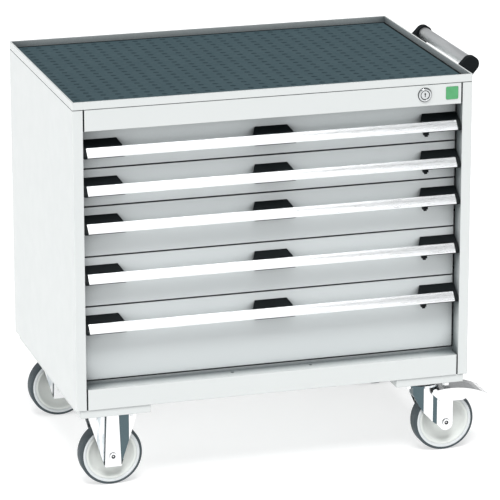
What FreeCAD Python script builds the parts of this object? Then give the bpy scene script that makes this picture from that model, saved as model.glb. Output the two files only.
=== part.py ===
"""Mobile drawer cabinet with a lipped, mat-covered worktop.

A sheet-steel housing on two castor channels holds five drawers on telescopic
runners. The left castors are fixed and the right ones swivel and have a brake
pedal. A key lock lifts a bar that blocks every drawer at once.

Cabinet frame used while modelling: x to the right from the left side panel's
outer face, y backwards from the front plane of the corner posts, z up from the
floor. Everything is moved at the end so that the origin is the middle of the
overall box, on the floor.
"""
import FreeCAD, Part
import math
import os
from FreeCAD import Vector

os.makedirs("parts", exist_ok=True)

# ------------------------------------------------------------- driving sizes
# Housing
width = 800.0
depth = 525.0
sheet = 1.5
base_band = 50.0
top_band = 48.0
drawer_pitches = [75.0, 75.0, 100.0, 100.0, 150.0]  # from the top drawer down
post_width = 20.0
post_depth = 32.0
post_gap = 3.0
edge_radius = 1.2

# Rails across the front
bottom_rail_height = 42.0
top_rail_height = 41.5
rail_lip_height = 15.0
rail_lip_overlap = 5.0
rail_hole_radius = 3.5
rail_hole_spacing = 160.0
rail_hole_setback = 24.0

# Worktop
tray_height = 16.0
tray_wall = 3.0
tray_floor = 1.0
seam_height = 1.2  # shadow gap under the tray's lip
seam_depth = 1.5
mat_thickness = 2.0
mat_gap = 4.0

# Castor channels
channel_height = 16.0
channel_width = 140.0
channel_inset = 8.0
channel_wall = 2.0
channel_setback = 2.0

# Drawers
front_gap = 3.0
front_flange = 12.0
front_sheet = 1.5
pan_sheet = 1.2
pan_lift = 4.0
pan_top_gap = 8.0
pan_rear_gap = 48.0

# Telescopic runners, nested channels
runner_start = 58.0
runner_height = 34.0
runner_wall = 1.2
runner_play = 0.5
runner_depth = 12.5
upright_depth = 28.5
upright_width = 30.0
upright_start = 60.0

# Handle bar and its brackets, measured down from the drawer's upper joint
bar_top_drop = 29.5
bar_rise = 14.0
bar_slope_depth = 12.0
bar_wall = 1.8
bar_nose = 2.5
bar_back = 3.0
bar_back_drop = 5.5
bar_end_gap = 8.5
bracket_width = 82.0
bracket_end_width = 79.0
bracket_taper = 9.0
bracket_top_drop = 17.0
bracket_foot = 1.5
bracket_wall = 2.5
bracket_edge_step = 1.0
bracket_side_gap = 2.0
cap_overhang = 0.6

# Thumb catch under each handle bar
catch_from_bracket = 4.0
catch_width = 6.8
catch_tip_width = 6.2
catch_height = 9.3
catch_plate = 2.2
catch_pin_radius = 1.5
catch_barrel_radius = 2.6
catch_ear = 1.5
catch_ear_rim = 1.0
catch_play = 0.3
catch_setback = 7.5
pin_play = 0.05

# Key lock and lock bar
lock_from_right = 98.0
lock_drop = 19.0
lock_flange_radius = 13.0
lock_flange = 3.0
lock_barrel_radius = 11.0
lock_barrel_length = 24.0
plug_radius = 8.0
plug_recess = 0.6
plug_collar = 2.0
plug_collar_inset = 1.0
plug_tail_radius = 4.0
crank_radius = 5.0
crank_rim = 3.0
crank_plate = 3.0
crank_pin_radius = 2.0
crank_pin_end = 2.0
slot_play = 0.35
key_slot_width = 1.6
key_slot_height = 8.0
key_slot_depth = 6.0
bar_plate = 3.0
bar_setback = 48.0
bar_strip = 12.0
bar_from_skin = 6.0
bar_arm_half = 7.0
bar_arm_end = 8.0
hook_reach = 16.0
hook_height = 4.0
hook_rise = 1.0
hook_gap = 2.0
guide_sheet = 2.0
guide_height = 15.0
guide_from_top = 30.0
lug_thickness = 3.0
lug_reach = 10.0
lug_height = 7.0
badge_size = 25.0
badge_thickness = 0.8
badge_from_right = 42.0
badge_corner = 2.0

# Push handle on the right side
handle_out = 45.0
handle_start = 128.0
handle_end = 420.0
handle_height_below_top = 14.0
handle_tube_radius = 12.5
handle_tube_wall = 2.0
handle_boss_radius = 16.0
handle_boss_length = 14.0
handle_socket = 9.0
handle_foot = 6.0
handle_foot_low = 78.0
handle_foot_high = 24.0

# Castors
wheel_radius = 62.5
wheel_width = 32.0
tyre_depth = 14.5
tyre_shoulder = 5.0
rim_flange = 3.0
rim_flange_width = 3.0
hub_radius = 15.0
hub_side_gap = 0.5
rim_web = 9.0
rim_hub_fillet = 2.0
rim_dish = 8.0
rim_face_step = 1.0
axle_radius = 6.0
axle_head_radius = 7.5
axle_head = 2.5
axle_dimple_radius = 4.0
axle_dimple = 1.5
castor_height = 155.0
castor_plate = 3.0
castor_plate_x = 105.0
castor_plate_y = 85.0
castor_plate_corner = 8.0
castor_hole_x = 80.0
castor_hole_y = 72.0
castor_hole_radius = 4.5
bolt_radius = 4.0
bolt_head_width = 13.0
bolt_head = 5.0
nut_height = 6.0
front_castor_inset = 54.0
rear_castor_inset = 47.0
fork_gap = 42.0
fork_sheet = 2.5
fork_relief = 4.0
fork_top_width = 101.0
fork_foot_width = 33.0
fork_foot_drop = 21.5
fork_rib_top = 24.0
fork_edge = 18.0
fork_foot_rise = 4.0
fork_sweep = [0.75, 0.43, 0.31, 0.06]  # heights of the swivel fork's lower edge, front to back
castor_trail = 45.0
swivel_foot_radius = 14.0
swivel_foot_drop = 3.0
swivel_rib_front = 19.5
swivel_rib_slope = 7.5
nose_root = 1.5  # where the fork starts to narrow, ahead of the kingpin
nose_length = 18.5
nose_half = 11.5
swivel_gap = 0.3
swivel_race_radius = 32.0
swivel_race = 6.0
crown_radius = 36.0
crown_thickness = 4.4
crown_shoulder = 2.0
kingpin_radius = 6.0
kingpin_disc_radius = 15.0
kingpin_disc = 4.0
pedal_pin_radius = 3.0
pedal_pin_back = 26.0
pedal_pin_rise = 69.5
pedal_reach = 86.0
pedal_sheet = 2.2
pedal_side_gap = 1.2
pedal_clear = 7.0
pedal_skirt = 24.0
pedal_crest = 3.0
pedal_drop = 15.0
pedal_wall_low = 0.70  # where the side walls end, as shares of the reach
pedal_wall_end = 0.86
pedal_pin_head = 2.0

# ------------------------------------------------------------ derived places
channel_z = castor_height
housing_z = channel_z + channel_height
drawers_z = housing_z + base_band
joint_z = [drawers_z + sum(drawer_pitches)]
for pitch in drawer_pitches:
    joint_z.append(joint_z[-1] - pitch)
housing_top = joint_z[0] + top_band
tray_top = housing_top + tray_height
middle_x = width / 2
inner_y = depth - sheet
rail_back = post_depth + sheet
front_y = post_depth - sheet / 2
pan_y = front_y + front_sheet
pan_back = depth - pan_rear_gap
runner_length = pan_back - runner_start
runner_x = sheet + upright_depth
pan_x = runner_x + runner_depth + front_sheet
bar_y = bar_slope_depth + bar_back
bar_foot_drop = bar_top_drop + bar_rise + bar_nose
lock_x = width - lock_from_right
lock_z = housing_top - lock_drop
lock_travel = 2 * crank_radius * math.sin(math.radians(45))
handle_x = width + handle_out
handle_z = tray_top - handle_height_below_top
channel_x = [channel_inset, width - channel_inset - channel_width]
fixed_x = channel_inset + channel_width / 2
swivel_x = width - fixed_x
castor_y = [front_castor_inset, depth - rear_castor_inset]
overall_right = handle_x + handle_boss_radius
origin = Vector(overall_right / 2, (depth - lock_flange) / 2, 0)

nodes = {}


# ------------------------------------------------------------- shape helpers
def block(x, y, z):
    """Box from three (low, high) pairs."""
    size = (x[1] - x[0], y[1] - y[0], z[1] - z[0])
    return Part.makeBox(*size, Vector(x[0], y[0], z[0]))


def prism(points, start, length, along):
    """Outline pushed along one axis; the points are the other two axes in order."""
    place = {
        "x": lambda a, b: Vector(start, a, b),
        "y": lambda a, b: Vector(a, start, b),
        "z": lambda a, b: Vector(a, b, start),
    }[along]
    wire = Part.makePolygon([place(a, b) for a, b in points + points[:1]])
    push = {"x": Vector(length, 0, 0), "y": Vector(0, length, 0), "z": Vector(0, 0, length)}
    return Part.Face(wire).extrude(push[along])


def rod(start, direction, radius, length):
    return Part.makeCylinder(radius, length, Vector(*start), Vector(*direction))


def hexagon(start, direction, across, length):
    """Hexagonal prism, measured across its flats."""
    corner = across / math.sqrt(3)
    points = []
    for step in range(7):
        turn = math.radians(60 * step)
        points.append(Vector(corner * math.cos(turn), corner * math.sin(turn), 0))
    solid = Part.Face(Part.makePolygon(points)).extrude(Vector(0, 0, length))
    turn = FreeCAD.Rotation(Vector(0, 0, 1), Vector(*direction))
    return solid.transformed(FreeCAD.Placement(Vector(*start), turn).toMatrix())


def turned(profile, x, y, z):
    """Ring turned about the y axis through (x, y, z) from (radius, offset) points."""
    points = [Vector(x + r, y + o, z) for r, o in profile + profile[:1]]
    face = Part.Face(Part.makePolygon(points))
    return face.revolve(Vector(x, y, z), Vector(0, 1, 0), 360)


def join(shapes):
    return shapes[0].fuse(shapes[1:]).removeSplitter()


def mirrored(shape, x=middle_x):
    return shape.mirror(Vector(x, 0, 0), Vector(1, 0, 0))


def soften(shape, picks, radius):
    """Round the straight edges whose middle and direction the test accepts."""
    edges = [e for e in shape.Edges if picks(e.CenterOfMass, e.tangentAt(e.FirstParameter))]
    return shape.makeFillet(radius, edges)


def upright_edge(x, y):
    def picks(middle, along):
        near = abs(middle.x - x) < 0.01 and abs(middle.y - y) < 0.01
        return near and abs(along.z) > 0.99
    return picks


# ------------------------------------------------------------------- housing
def side_panel():
    """Left skin with a folded front post and a rear flange."""
    z = (housing_z, housing_top)
    rear = (inner_y - sheet, inner_y)
    skin = block((0, sheet), (0, inner_y), z)
    post = block((0, post_width), (0, sheet), z)
    post_return = block((post_width - sheet, post_width), (0, post_depth), z)
    flange = block((0, post_width), rear, z)
    panel = join([skin, post, post_return, flange])
    return soften(panel, upright_edge(0, 0), edge_radius)


def back_panel():
    return block((0, width), (inner_y, depth), (housing_z, housing_top))


def base_panel():
    y = (rail_back, inner_y - sheet)
    return block((sheet, width - sheet), y, (housing_z, housing_z + sheet))


def rail(z0, z1, lip_z, flat_z):
    """Front face between the posts, a ledge behind it and a lip that meets the posts."""
    x = (post_width + post_gap, width - post_width - post_gap)
    lip_x = (post_width - rail_lip_overlap, width - post_width + rail_lip_overlap)
    face = block(x, (0, sheet), (z0, z1))
    ledge = block(x, (0, rail_back), flat_z)
    lip = block(lip_x, (post_depth, rail_back), lip_z)
    far = (z0, z0 + sheet) if flat_z[1] == z1 else (z1 - sheet, z1)
    foot = block(x, (0, post_depth / 2), far)
    return join([face, ledge, lip, foot])


def bottom_rail():
    """Ledge under the drawers, turned up at the back to just below the lowest front."""
    top = housing_z + bottom_rail_height
    lip_z = (top - rail_lip_height, joint_z[-1] - front_gap / 2)
    shape = rail(housing_z, top, lip_z, (top - sheet, top))
    for side in (-1, 1):
        x = middle_x + side * rail_hole_spacing / 2
        start = (x, rail_hole_setback, top - 2 * sheet)
        shape = shape.cut(rod(start, (0, 0, 1), rail_hole_radius, 3 * sheet))
    return shape


def top_rail():
    low = housing_top - top_rail_height
    shape = rail(low, housing_top, (low, low + rail_lip_height), (low, low + sheet))
    hole = rod((lock_x, -1, lock_z), (0, 1, 0), lock_barrel_radius + pin_play, 4)
    return shape.cut(hole)


def top_tray():
    """Shallow tray: a thin floor inside a thick hemmed lip, over a shadow gap."""
    lip = block((0, width), (0, depth), (housing_top + seam_height, tray_top))
    for x in (0, width):
        for y in (0, depth):
            lip = soften(lip, upright_edge(x, y), edge_radius)
    foot_x = (seam_depth, width - seam_depth)
    foot_y = (seam_depth, depth - seam_depth)
    foot = block(foot_x, foot_y, (housing_top, housing_top + seam_height))
    x = (tray_wall, width - tray_wall)
    y = (tray_wall, depth - tray_wall)
    return join([lip, foot]).cut(block(x, y, (housing_top + tray_floor, tray_top + 1)))


def top_mat():
    edge = tray_wall + mat_gap
    low = housing_top + tray_floor
    return block((edge, width - edge), (edge, depth - edge), (low, low + mat_thickness))


def castor_channel(x0):
    """Channel with an open top, closed at both ends, under the housing."""
    x1 = x0 + channel_width
    y = (channel_setback, depth - channel_setback)
    z = (channel_z, housing_z)
    inner_x = (x0 + channel_wall, x1 - channel_wall)
    inner_yy = (y[0] + channel_wall, y[1] - channel_wall)
    shape = block((x0, x1), y, z)
    shape = shape.cut(block(inner_x, inner_yy, (channel_z + channel_wall, housing_z + 1)))
    for cy in castor_y:
        for hx, hy in plate_holes(x0 + channel_width / 2, cy):
            start = (hx, hy, channel_z - 1)
            shape = shape.cut(rod(start, (0, 0, 1), castor_hole_radius, channel_wall + 2))
    return shape


# ------------------------------------------------------- uprights and runners
def upright(y0):
    """Z-shaped post between a side panel and the runners."""
    z = (housing_z + sheet, joint_z[0])
    web = block((sheet, runner_x), (y0, y0 + sheet), z)
    outer = block((sheet, 2 * sheet), (y0, y0 + upright_width), z)
    inner = block((runner_x - sheet, runner_x), (y0, y0 + upright_width), z)
    return join([web, outer, inner])


def channel_profile(x0, x1, half, z, length, open_right):
    """Runner channel along y with its mouth to the right or to the left."""
    y = (runner_start, runner_start + length)
    web_x = (x0, x0 + runner_wall) if open_right else (x1 - runner_wall, x1)
    web = block(web_x, y, (z - half, z + half))
    top = block((x0, x1), y, (z + half - runner_wall, z + half))
    bottom = block((x0, x1), y, (z - half, z - half + runner_wall))
    return join([web, top, bottom])


def runner_z(k):
    return joint_z[k + 1] + front_gap / 2 + pan_lift + runner_height / 2


def outer_runner(k):
    half = runner_height / 2
    return channel_profile(runner_x, runner_x + runner_depth, half, runner_z(k), runner_length, True)


def mid_runner(k):
    half = runner_height / 2 - runner_wall - runner_play
    x0 = runner_x + runner_wall + runner_play
    x1 = runner_x + runner_depth - runner_play
    return channel_profile(x0, x1, half, runner_z(k), runner_length, True)


def inner_rail(k):
    half = runner_height / 2 - 2 * (runner_wall + runner_play)
    x0 = runner_x + 2 * (runner_wall + runner_play)
    return channel_profile(x0, pan_x, half, runner_z(k), runner_length, False)


# ------------------------------------------------------------------- drawers
def drawer_front(k):
    """Front sheet with a shallow flange turned back on all four sides."""
    x = (post_width + post_gap, width - post_width - post_gap)
    z = (joint_z[k + 1] + front_gap / 2, joint_z[k] - front_gap / 2)
    shape = block(x, (front_y, pan_y + front_flange), z)
    inner_x = (x[0] + front_sheet, x[1] - front_sheet)
    inner_z = (z[0] + front_sheet, z[1] - front_sheet)
    return shape.cut(block(inner_x, (pan_y, pan_y + front_flange + 1), inner_z))


def drawer_pan(k):
    """Open-topped tray behind the front."""
    z0 = joint_z[k + 1] + front_gap / 2 + pan_lift
    z1 = joint_z[k] - front_gap / 2 - pan_top_gap
    shape = block((pan_x, width - pan_x), (pan_y, pan_back), (z0, z1))
    x = (pan_x + pan_sheet, width - pan_x - pan_sheet)
    y = (pan_y - 1, pan_back - pan_sheet)
    return shape.cut(block(x, y, (z0 + pan_sheet, z1 + 1)))


def lock_lug(k):
    """Tab on the drawer's right wall that the raised hook of the lock bar blocks."""
    x0 = width - pan_x
    y0 = bar_setback + bar_plate + hook_gap
    z0 = hook_z(k) + hook_height + hook_gap
    return block((x0, x0 + lug_reach), (y0, y0 + lug_thickness), (z0, z0 + lug_height))


def drawer_box(k):
    rail_left = inner_rail(k)
    pan = join([drawer_pan(k), lock_lug(k)])
    return [drawer_front(k), pan, rail_left, mirrored(rail_left)]


def bar_outline(z):
    """Sloping plate with a blunt nose at its foot and a hook along its top edge."""
    top = z - bar_top_drop
    nose = top - bar_rise
    slope = bar_rise / bar_slope_depth
    wall = bar_wall * math.hypot(1, slope)
    inner_foot = nose + slope * bar_wall - wall
    hook_y = bar_y - bar_wall
    inner_head = inner_foot + slope * (hook_y - bar_wall)
    return [
        (bar_y, top),
        (bar_slope_depth, top),
        (0, nose),
        (0, nose - bar_nose),
        (bar_wall, nose - bar_nose),
        (bar_wall, inner_foot),
        (hook_y, inner_head),
        (hook_y, top - bar_back_drop),
        (bar_y, top - bar_back_drop),
    ]


def handle_bar(k):
    x0 = post_width + bar_end_gap
    return prism(bar_outline(joint_z[k]), x0, width - 2 * x0, "x")


def bracket_outline(z):
    foot = z - bar_foot_drop
    return [
        (front_y, z - bracket_top_drop),
        (bar_y, z - bar_top_drop + bracket_edge_step),
        (bar_y, foot),
        (bar_wall / 3, foot),
        (bar_wall / 3, foot - bracket_foot),
        (front_y, foot - bracket_foot),
    ]


def bracket_pocket(z, x0, x1):
    """Hollow under the bracket's sloping top."""
    w = bracket_wall
    slope = (bar_top_drop - bracket_edge_step - bracket_top_drop) / (front_y - bar_y)
    y0 = bar_y + w
    y1 = front_y - w
    high = z - bracket_top_drop - slope * w - w
    low = z - bracket_top_drop - slope * (front_y - y0) - w
    floor = z - bar_foot_drop - bracket_foot - 1
    outline = [(y0, floor), (y1, floor), (y1, high), (y0, low)]
    return prism(outline, x0 + w, x1 - x0 - 2 * w, "x")


def taper_cut(x, side, z):
    """Wedge that narrows a bracket towards the drawer front; side is -1 or 1."""
    outline = [(x, bar_y), (x, front_y + 1), (x - side * bracket_taper, front_y + 1)]
    low = z - bar_foot_drop - 2 * bracket_foot
    return prism(outline, low, bar_foot_drop, "z")


def bracket(k, x0, x1, taper_left, taper_right):
    z = joint_z[k]
    shape = prism(bracket_outline(z), x0, x1 - x0, "x")
    pocket_x0 = x0 + (bracket_taper if taper_left else 0)
    pocket_x1 = x1 - (bracket_taper if taper_right else 0)
    shape = shape.cut(bracket_pocket(z, pocket_x0, pocket_x1))
    if taper_left:
        shape = shape.cut(taper_cut(x0, -1, z))
    if taper_right:
        shape = shape.cut(taper_cut(x1, 1, z))
    return shape


def end_cap(k):
    """Plate that closes the left end of the handle bar."""
    z = joint_z[k]
    top = z - bar_top_drop + cap_overhang
    nose = top - bar_rise
    foot = z - bar_foot_drop - bracket_foot
    outline = [
        (front_y, z - bracket_top_drop),
        (bar_y, z - bar_top_drop + bracket_edge_step),
        (bar_slope_depth, top + cap_overhang),
        (-cap_overhang, nose),
        (-cap_overhang, foot),
        (front_y, foot),
    ]
    x0 = post_width + bracket_side_gap
    return prism(outline, x0, bar_end_gap - bracket_side_gap, "x")


def catch_place(k):
    """Pivot of the thumb catch and the left face of its left ear."""
    ear_x = width - post_width - bracket_side_gap - bracket_end_width + catch_from_bracket
    z = joint_z[k] - bar_foot_drop - bracket_foot - catch_barrel_radius - catch_play
    return ear_x, catch_setback, z


def catch_ears(k):
    x, y, z = catch_place(k)
    top = joint_z[k] - bar_foot_drop - bracket_foot
    reach = catch_barrel_radius + catch_ear_rim
    step = catch_ear + catch_width + 2 * catch_play
    ears = []
    for x0 in (x, x + step):
        ear = block((x0, x0 + catch_ear), (y - reach, y + reach), (z - reach, top))
        hole = rod((x0 - 1, y, z), (1, 0, 0), catch_pin_radius + pin_play, catch_ear + 2)
        ears.append(ear.cut(hole))
    return ears


def brackets(k):
    left_x = post_width + bracket_side_gap
    end = join([bracket(k, post_width + bar_end_gap, left_x + bracket_end_width, False, True), end_cap(k)])
    half = bracket_width / 2
    middle = bracket(k, middle_x - half, middle_x + half, True, True)
    right = join([mirrored(end)] + catch_ears(k))
    return [end, middle, right]


def catch(k):
    """Thumb tab on a pivot pin, held between the two ears."""
    x, y, z = catch_place(k)
    x0 = x + catch_ear + catch_play
    x1 = x0 + catch_width
    middle = (x0 + x1) / 2
    tip = catch_tip_width / 2
    barrel = rod((x0, y, z), (1, 0, 0), catch_barrel_radius, catch_width)
    pin_length = catch_width + 2 * (catch_play + catch_ear)
    pin = rod((x, y, z), (1, 0, 0), catch_pin_radius, pin_length)
    low = z + catch_barrel_radius - catch_height
    outline = [(x0, z), (x1, z), (middle + tip, low), (middle - tip, low)]
    tab = prism(outline, y - catch_barrel_radius, catch_plate, "y")
    return join([barrel, pin, tab])


# ---------------------------------------------------------------------- lock
def hook_z(k):
    return runner_z(k) + runner_height / 2 + hook_rise


def lock_housing():
    """Flanged barrel through the top rail."""
    flange = rod((lock_x, -lock_flange, lock_z), (0, 1, 0), lock_flange_radius, lock_flange)
    edges = [e for e in flange.Edges if abs(e.CenterOfMass.y + lock_flange) < 0.01 and e.Closed]
    flange = flange.makeChamfer(lock_flange / 3, edges)
    barrel = rod((lock_x, 0, lock_z), (0, 1, 0), lock_barrel_radius, lock_barrel_length)
    bore_start = (lock_x, -lock_flange - 1, lock_z)
    bore = rod(bore_start, (0, 1, 0), plug_radius + pin_play, lock_flange + lock_barrel_length + 2)
    return join([flange, barrel]).cut(bore)


def lock_plug():
    """Key plug with a collar, a tail and a crank pin, its pin low while unlocked."""
    front = plug_recess - lock_flange
    collar_y = lock_barrel_length + swivel_gap
    crank_y = bar_setback - swivel_gap - crank_plate
    pin_turn = math.radians(-45)
    pin_x = lock_x + crank_radius * math.cos(pin_turn)
    pin_z = lock_z + crank_radius * math.sin(pin_turn)
    pin_length = crank_plate + bar_plate + crank_pin_end
    parts = [
        (lock_x, lock_z, plug_radius, front, collar_y - front),
        (lock_x, lock_z, lock_barrel_radius - plug_collar_inset, collar_y, plug_collar),
        (lock_x, lock_z, plug_tail_radius, collar_y, crank_y - collar_y),
        (lock_x, lock_z, crank_radius + crank_rim, crank_y, crank_plate),
        (pin_x, pin_z, crank_pin_radius, crank_y, pin_length),
    ]
    plug = join([rod((x, y, z), (0, 1, 0), r, length) for x, z, r, y, length in parts])
    slot_x = (lock_x - key_slot_width / 2, lock_x + key_slot_width / 2)
    slot_z = (lock_z - key_slot_height / 2, lock_z + key_slot_height / 2)
    plug = plug.cut(block(slot_x, (front - 1, front + key_slot_depth), slot_z))
    eye_start = (lock_x, front - 1, lock_z + key_slot_height / 4)
    return plug.cut(rod(eye_start, (0, 1, 0), key_slot_width, key_slot_depth + 1))


def lock_bar():
    """Sliding bar with a slotted arm for the crank pin and a hook for each drawer."""
    y = (bar_setback, bar_setback + bar_plate)
    x1 = width - bar_from_skin
    x0 = x1 - bar_strip
    pin_z = lock_z - lock_travel / 2
    arm_z = (pin_z - bar_arm_half, pin_z + bar_arm_half)
    arm = block((lock_x - bar_arm_end, x1), y, arm_z)
    strip = block((x0, x1), y, (hook_z(len(drawer_pitches) - 1), arm_z[1]))
    hooks = []
    for k in range(len(drawer_pitches)):
        low = hook_z(k)
        hooks.append(block((x0 - hook_reach, x0), y, (low, low + hook_height)))
    half = crank_pin_radius + slot_play
    slot_x = (lock_x + lock_travel / 2 - half, lock_x + crank_radius + half)
    slot = block(slot_x, (y[0] - 1, y[1] + 1), (pin_z - half, pin_z + half))
    return join([strip, arm] + hooks).cut(slot)


def lock_bar_guides():
    """Clips on the side panel that the lock bar slides through."""
    guides = []
    skin = width - sheet
    x = (width - bar_from_skin - bar_strip / 2, skin)
    top = lock_z - lock_travel
    low = hook_z(len(drawer_pitches) - 1) + hook_height
    front_face = bar_setback - swivel_gap
    back_face = bar_setback + bar_plate + swivel_gap
    for z0 in (low + guide_sheet, (low + top) / 2, top - guide_from_top):
        z = (z0, z0 + guide_height)
        front = block(x, (front_face - guide_sheet, front_face), z)
        back = block(x, (back_face, back_face + guide_sheet), z)
        web = block((skin - guide_sheet, skin), (front_face - guide_sheet, back_face + guide_sheet), z)
        guides.append(join([front, back, web]))
    return guides


def badge():
    x = width - badge_from_right
    half = badge_size / 2
    plate = block((x - half, x + half), (-badge_thickness, 0), (lock_z - half, lock_z + half))
    for side in (-half, half):
        plate = soften(plate, corner_edge(x + side), badge_corner)
    return plate


def corner_edge(x):
    def picks(middle, along):
        return abs(middle.x - x) < 0.01 and abs(along.y) > 0.99
    return picks


# --------------------------------------------------------------- push handle
def handle_bracket(y0, socket_y):
    """Foot plate on the side panel, sloping arm and round boss."""
    foot_z = (handle_z - handle_foot_low, handle_z - handle_foot_high)
    foot = block((width, width + handle_foot), (y0, y0 + handle_boss_length), foot_z)
    r = handle_boss_radius
    lean = math.atan2(handle_out, (handle_foot_low - handle_foot_high) / 2 + handle_foot_high)
    side = (r * math.cos(lean), -r * math.sin(lean))
    outline = [
        (width, foot_z[0]),
        (handle_x + side[0], handle_z + side[1]),
        (handle_x - side[0], handle_z - side[1]),
        (width, foot_z[1]),
    ]
    arm = prism(outline, y0, handle_boss_length, "y")
    boss = rod((handle_x, y0, handle_z), (0, 1, 0), r, handle_boss_length)
    socket_radius = handle_tube_radius + pin_play
    socket = rod((handle_x, socket_y, handle_z), (0, 1, 0), socket_radius, handle_socket)
    return join([foot, arm, boss]).cut(socket)


def handle_brackets():
    rear_y = handle_end - handle_boss_length
    front_socket = handle_start + handle_boss_length - handle_socket
    return [handle_bracket(handle_start, front_socket), handle_bracket(rear_y, rear_y)]


def handle_tube():
    y0 = handle_start + handle_boss_length - handle_socket
    length = handle_end - handle_boss_length + handle_socket - y0
    outer = rod((handle_x, y0, handle_z), (0, 1, 0), handle_tube_radius, length)
    bore = handle_tube_radius - handle_tube_wall
    return outer.cut(rod((handle_x, y0 - 1, handle_z), (0, 1, 0), bore, length + 2))


# ------------------------------------------------------------------- castors
def plate_holes(x, y):
    """Centres of the four bolt holes of a castor plate."""
    return [
        (x + sx * castor_hole_x / 2, y + sy * castor_hole_y / 2)
        for sx in (-1, 1)
        for sy in (-1, 1)
    ]


def top_plate(x, y):
    half_x = castor_plate_x / 2
    half_y = castor_plate_y / 2
    low = castor_height - castor_plate
    plate = block((x - half_x, x + half_x), (y - half_y, y + half_y), (low, castor_height))
    for cx in (x - half_x, x + half_x):
        for cy in (y - half_y, y + half_y):
            plate = soften(plate, upright_edge(cx, cy), castor_plate_corner)
    for hx, hy in plate_holes(x, y):
        plate = plate.cut(rod((hx, hy, low - 1), (0, 0, 1), castor_hole_radius, castor_plate + 2))
    return plate


def castor_bolt(x, y):
    top = channel_z + channel_wall
    low = castor_height - castor_plate - nut_height
    head = hexagon((x, y, top), (0, 0, 1), bolt_head_width, bolt_head)
    shank = rod((x, y, low - 1), (0, 0, 1), bolt_radius, top - low + 1)
    nut = hexagon((x, y, low), (0, 0, 1), bolt_head_width, nut_height)
    return join([head, shank, nut])


def castor_bolts():
    bolts = []
    for x in (fixed_x, swivel_x):
        for y in castor_y:
            bolts += [castor_bolt(hx, hy) for hx, hy in plate_holes(x, y)]
    return bolts


def fixed_leg(x, y):
    """Pressed leg in front of the wheel: a rib that widens to a square foot, between
    sloping sunk panels and raised edges."""
    top = castor_height - castor_plate
    foot = wheel_radius - fork_foot_drop
    y0 = y - fork_gap / 2 - fork_sheet - fork_relief
    half = fork_top_width / 2
    base = fork_foot_width / 2
    outline = [(x - half, top), (x + half, top), (x + base, foot), (x - base, foot)]
    leg = prism(outline, y0, fork_sheet + fork_relief, "y")
    rib = fork_rib_top / 2
    edge = half - fork_edge
    lean = (half - base) / (top - foot)
    edge_z = top - fork_edge / lean
    for side in (-1, 1):
        panel = [
            (x + side * rib, top),
            (x + side * edge, top),
            (x + side * (edge + 1), edge_z),
            (x + side * (base + 1), foot + fork_foot_rise),
            (x + side * base, foot + fork_foot_rise),
        ]
        slope = [
            (x + side * rib, y0 - 1),
            (x + side * rib, y0 + fork_relief),
            (x + side * edge, y0),
            (x + side * edge, y0 - 1),
        ]
        sunk = prism(panel, y0 - 1, fork_relief + 1, "y")
        leg = leg.cut(sunk.common(prism(slope, foot, top - foot, "z")))
    return leg.cut(axle_hole(x, y))


def axle_hole(x, y):
    reach = fork_gap
    start = (x, y - reach, wheel_radius)
    return rod(start, (0, 1, 0), axle_radius + pin_play, 2 * reach)


def fixed_fork(y):
    leg = fixed_leg(fixed_x, y)
    other = leg.mirror(Vector(0, y, 0), Vector(0, 1, 0))
    return join([top_plate(fixed_x, y), leg, other])


def axle(x, y):
    """Riveted axle with a flat dimpled head outside each leg."""
    reach = fork_gap / 2 + fork_sheet + fork_relief
    pin = rod((x, y - reach, wheel_radius), (0, 1, 0), axle_radius, 2 * reach)
    heads = []
    dimples = []
    for side in (-1, 1):
        start = (x, y + side * reach, wheel_radius)
        heads.append(rod(start, (0, side, 0), axle_head_radius, axle_head))
        end = (x, y + side * (reach + axle_head), wheel_radius)
        dimples.append(rod(end, (0, -side, 0), axle_dimple_radius, axle_dimple))
    return join([pin] + heads).cut(dimples)


def rim(x, y):
    """Moulded wheel centre: hub, dished web and a rim with flanges for the tyre."""
    bore = axle_radius + pin_play
    hub = fork_gap / 2 - hub_side_gap
    web = rim_web / 2
    seat = wheel_radius - tyre_depth
    half = wheel_width / 2 - rim_face_step
    groove = half - rim_flange_width
    top = seat + rim_flange
    lip = seat - rim_flange
    right = [
        (bore, hub),
        (hub_radius, hub),
        (hub_radius + rim_hub_fillet, web + 2 * rim_hub_fillet),
        (hub_radius + rim_dish, web),
        (lip - rim_dish, web),
        (lip, half),
        (top, half),
        (top, groove),
        (seat, groove),
    ]
    left = [(r, -o) for r, o in reversed(right)]
    return turned(right + left, x, y, wheel_radius)


def tyre(x, y):
    """Rubber tyre with rounded shoulders, keyed over the rim."""
    seat = wheel_radius - tyre_depth
    half = wheel_width / 2
    face = half - rim_face_step
    groove = face - rim_flange_width
    collar = seat + rim_flange
    flank = [(seat + pin_play, groove), (collar, groove), (collar, face)]
    shoulder = []
    for step in range(5):
        turn = math.radians(90 * step / 4)
        r = wheel_radius - (tyre_shoulder + rim_face_step) * (1 - math.sin(turn))
        shoulder.append((r, half - tyre_shoulder * (1 - math.cos(turn))))
    upper = flank + shoulder
    lower = [(r, -o) for r, o in reversed(upper)]
    return turned(upper + lower, x, y, wheel_radius)


def swivel_plate(y):
    """Top plate with its bearing race and kingpin."""
    low = castor_height - castor_plate
    race_low = low - swivel_race
    disc_low = race_low - 2 * swivel_gap - crown_thickness - kingpin_disc
    race = rod((swivel_x, y, race_low), (0, 0, 1), swivel_race_radius, swivel_race)
    pin = rod((swivel_x, y, disc_low), (0, 0, 1), kingpin_radius, low - disc_low)
    disc = rod((swivel_x, y, disc_low), (0, 0, 1), kingpin_disc_radius, kingpin_disc)
    return join([top_plate(swivel_x, y), race, pin, disc])


def crown_low():
    return castor_height - castor_plate - swivel_race - swivel_gap - crown_thickness


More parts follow.
